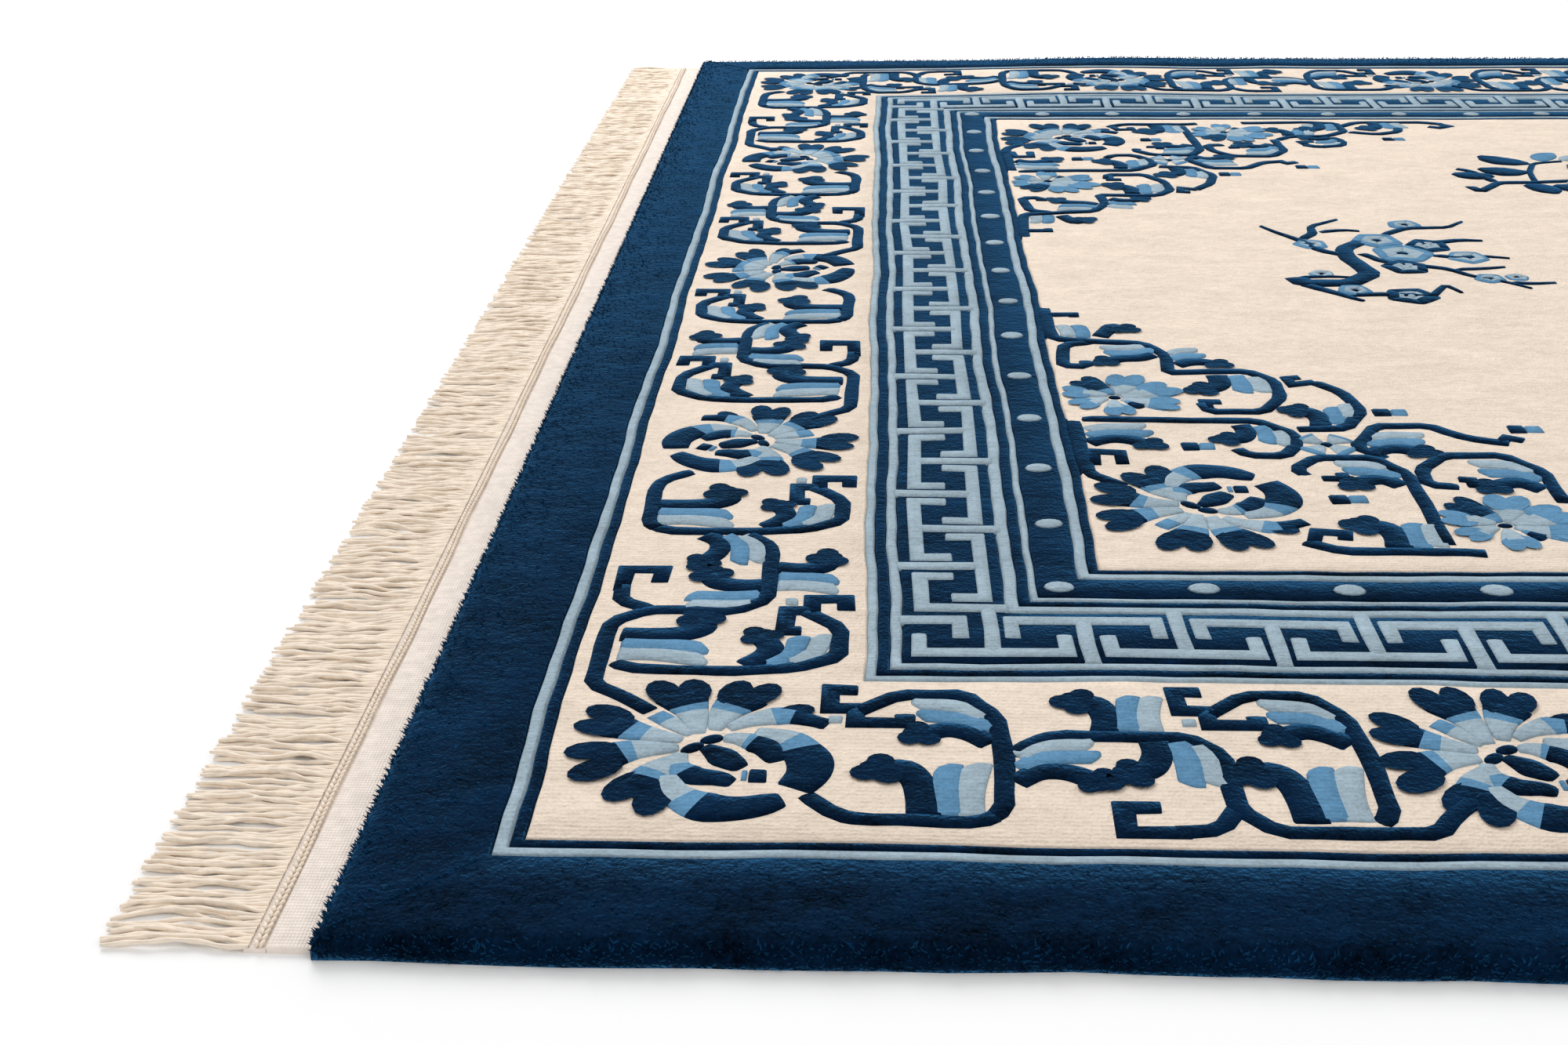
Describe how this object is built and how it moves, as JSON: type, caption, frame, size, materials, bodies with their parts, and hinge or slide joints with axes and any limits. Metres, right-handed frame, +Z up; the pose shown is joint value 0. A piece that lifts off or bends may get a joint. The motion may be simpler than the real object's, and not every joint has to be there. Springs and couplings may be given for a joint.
{
  "type": "hand-knotted rug",
  "caption": "Rectangular hand-knotted wool rug with a thick carved pile, nested borders round an open field, flat-woven end bands and a cotton fringe at both ends.",
  "frame": {"origin": "middle of the underside, on the floor", "axes": "+X along the rug, from one fringe to the other; +Y across it; +Z up out of the pile"},
  "size_m": [2.98, 1.834, 0.016],
  "materials": {
    "wool_pile": "clipped wool pile, navy, light blue and ivory",
    "cotton_band": "flat-woven natural cotton",
    "cotton_fringe": "plied natural cotton warp ends"
  },
  "bodies": {
    "root": {"pile_body": "wool_pile", "kilim_left": "cotton_band", "kilim_right": "cotton_band", "fringe_left": "cotton_fringe", "fringe_right": "cotton_fringe"}
  },
  "joints": []
}
